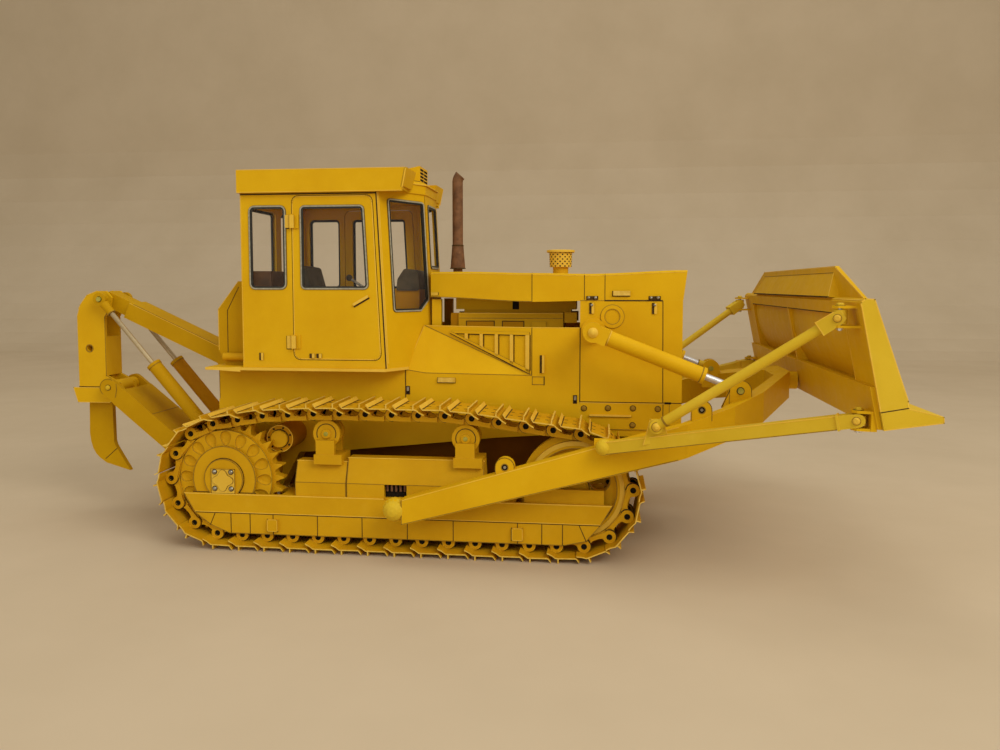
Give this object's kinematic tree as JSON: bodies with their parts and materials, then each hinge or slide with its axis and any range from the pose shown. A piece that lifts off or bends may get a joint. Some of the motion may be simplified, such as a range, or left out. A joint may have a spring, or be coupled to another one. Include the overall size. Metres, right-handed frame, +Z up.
{
  "type": "card scale model of a tracked bulldozer",
  "caption": "Card scale model of a tracked bulldozer with an angle blade on a lifting C-frame, a glazed cab with hinged doors, and a single-shank rear ripper on a four-bar linkage.",
  "frame": {"origin": "centre of the overall box in plan, on the plane the tracks stand on", "axes": "+X forward to the blade, +Y to the machine's left, +Z up"},
  "size_m": [0.3064, 0.182, 0.1385],
  "materials": {
    "yellow_card": "satin",
    "dark_card": "matte",
    "brown_card": "matte",
    "rust_card": "matte",
    "silver_rod": "polished",
    "clear_film": "clear"
  },
  "bodies": {
    "tractor": {"main_frame": "yellow_card", "nose_plate": "yellow_card", "side_panel_right": "yellow_card", "side_panel_left": "yellow_card", "radiator_housing": "yellow_card", "radiator_grille": "dark_card", "hood": "yellow_card", "firewall": "yellow_card", "engine_block": "yellow_card", "exhaust_pipe": "rust_card", "air_cleaner": "yellow_card", "deck_plate": "yellow_card", "fuel_tank": "yellow_card", "cab_rear_wall": "yellow_card", "cab_right_wall": "yellow_card", "cab_left_wall": "yellow_card", "cab_corner_right": "yellow_card", "cab_corner_left": "yellow_card", "windshield_wall": "yellow_card", "cab_roof": "yellow_card", "roof_visor": "yellow_card", "cab_glass": "clear_film", "operator_seat": "brown_card", "control_console": "dark_card", "track_frame_right": "yellow_card", "track_frame_left": "yellow_card", "sprockets": "yellow_card", "idlers": "yellow_card", "carrier_rollers": "yellow_card", "track_rollers": "yellow_card", "final_drives": "yellow_card", "cross_shafts": "yellow_card", "track_right": "yellow_card", "track_left": "yellow_card"},
    "door_right": {"door_right": "yellow_card", "door_right_glass": "clear_film"},
    "door_left": {"door_left": "yellow_card", "door_left_glass": "clear_film"},
    "dozer": {"c_frame": "yellow_card", "blade": "yellow_card", "cutting_edge": "yellow_card", "strut_right": "yellow_card", "strut_left": "yellow_card", "brace_right": "yellow_card", "brace_left": "yellow_card"},
    "lift_barrel_right": {"lift_barrel_right": "yellow_card"},
    "lift_barrel_left": {"lift_barrel_left": "yellow_card"},
    "lift_rod_right": {"lift_rod_right": "silver_rod"},
    "lift_rod_left": {"lift_rod_left": "silver_rod"},
    "ripper_arm": {"ripper_arm": "yellow_card"},
    "ripper_link": {"ripper_link": "yellow_card"},
    "ripper_beam": {"ripper_beam": "yellow_card", "ripper_shank": "yellow_card"},
    "ripper_barrel_right": {"ripper_barrel_right": "yellow_card"},
    "ripper_barrel_left": {"ripper_barrel_left": "yellow_card"},
    "ripper_rod_right": {"ripper_rod_right": "silver_rod"},
    "ripper_rod_left": {"ripper_rod_left": "silver_rod"}
  },
  "joints": [
    {"name": "blade_lift", "type": "hinge", "parent": "tractor", "child": "dozer", "pos_m": [-0.00565, 0, 0.018], "axis": [0, 1, 0], "range_deg": [0, 20]},
    {"name": "door_right_swing", "type": "hinge", "parent": "tractor", "child": "door_right", "pos_m": [-0.04835, -0.0327, 0.0955], "axis": [0, 0, -1], "range_deg": [0, 100]},
    {"name": "door_left_swing", "type": "hinge", "parent": "tractor", "child": "door_left", "pos_m": [-0.04835, 0.0327, 0.0955], "axis": [0, 0, 1], "range_deg": [0, 100]},
    {"name": "lift_barrel_right_pivot", "type": "hinge", "parent": "tractor", "child": "lift_barrel_right", "pos_m": [0.05985, -0.038, 0.077], "axis": [0, 1, 0], "range_deg": [0, 26.2]},
    {"name": "lift_rod_right_slide", "type": "slide", "parent": "lift_barrel_right", "child": "lift_rod_right", "axis": [0.9316, 0, -0.3635], "range_m": [0, 0.0298]},
    {"name": "lift_barrel_left_pivot", "type": "hinge", "parent": "tractor", "child": "lift_barrel_left", "pos_m": [0.05985, 0.038, 0.077], "axis": [0, 1, 0], "range_deg": [0, 26.2]},
    {"name": "lift_rod_left_slide", "type": "slide", "parent": "lift_barrel_left", "child": "lift_rod_left", "axis": [0.9316, 0, -0.3635], "range_m": [0, 0.0298]},
    {"name": "ripper_lift", "type": "hinge", "parent": "tractor", "child": "ripper_arm", "pos_m": [-0.08695, 0, 0.012], "axis": [0, -1, 0], "range_deg": [0, 17.5]},
    {"name": "ripper_beam_pivot", "type": "hinge", "parent": "ripper_arm", "child": "ripper_beam", "pos_m": [-0.13525, 0, 0.0517], "axis": [0, 1, 0], "range_deg": [0, 25.6]},
    {"name": "ripper_link_pivot", "type": "hinge", "parent": "tractor", "child": "ripper_link", "pos_m": [-0.08695, 0, 0.0639], "axis": [0, -1, 0], "range_deg": [0, 17.3]},
    {"name": "ripper_barrel_right_pivot", "type": "hinge", "parent": "tractor", "child": "ripper_barrel_right", "pos_m": [-0.08695, -0.009, 0.027], "axis": [0, -1, 0], "range_deg": [0, 11.5]},
    {"name": "ripper_rod_right_slide", "type": "slide", "parent": "ripper_barrel_right", "child": "ripper_rod_right", "axis": [0.6474, 0, -0.7622], "range_m": [0, 0.008]},
    {"name": "ripper_barrel_left_pivot", "type": "hinge", "parent": "tractor", "child": "ripper_barrel_left", "pos_m": [-0.08695, 0.009, 0.027], "axis": [0, -1, 0], "range_deg": [0, 11.5]},
    {"name": "ripper_rod_left_slide", "type": "slide", "parent": "ripper_barrel_left", "child": "ripper_rod_left", "axis": [0.6474, 0, -0.7622], "range_m": [0, 0.008]}
  ],
  "couplings": [
    {"joint": "lift_barrel_right_pivot", "follows": "blade_lift", "ratio": 1.3072},
    {"joint": "lift_rod_right_slide", "follows": "blade_lift", "m_per_rad": 0.08537},
    {"joint": "lift_barrel_left_pivot", "follows": "blade_lift", "ratio": 1.3072},
    {"joint": "lift_rod_left_slide", "follows": "blade_lift", "m_per_rad": 0.08537},
    {"joint": "ripper_beam_pivot", "follows": "ripper_lift", "ratio": 1.4609},
    {"joint": "ripper_link_pivot", "follows": "ripper_lift", "ratio": 0.98713},
    {"joint": "ripper_barrel_right_pivot", "follows": "ripper_lift", "ratio": 0.65231},
    {"joint": "ripper_rod_right_slide", "follows": "ripper_lift", "m_per_rad": 0.026159},
    {"joint": "ripper_barrel_left_pivot", "follows": "ripper_lift", "ratio": 0.65231},
    {"joint": "ripper_rod_left_slide", "follows": "ripper_lift", "m_per_rad": 0.026159}
  ]
}
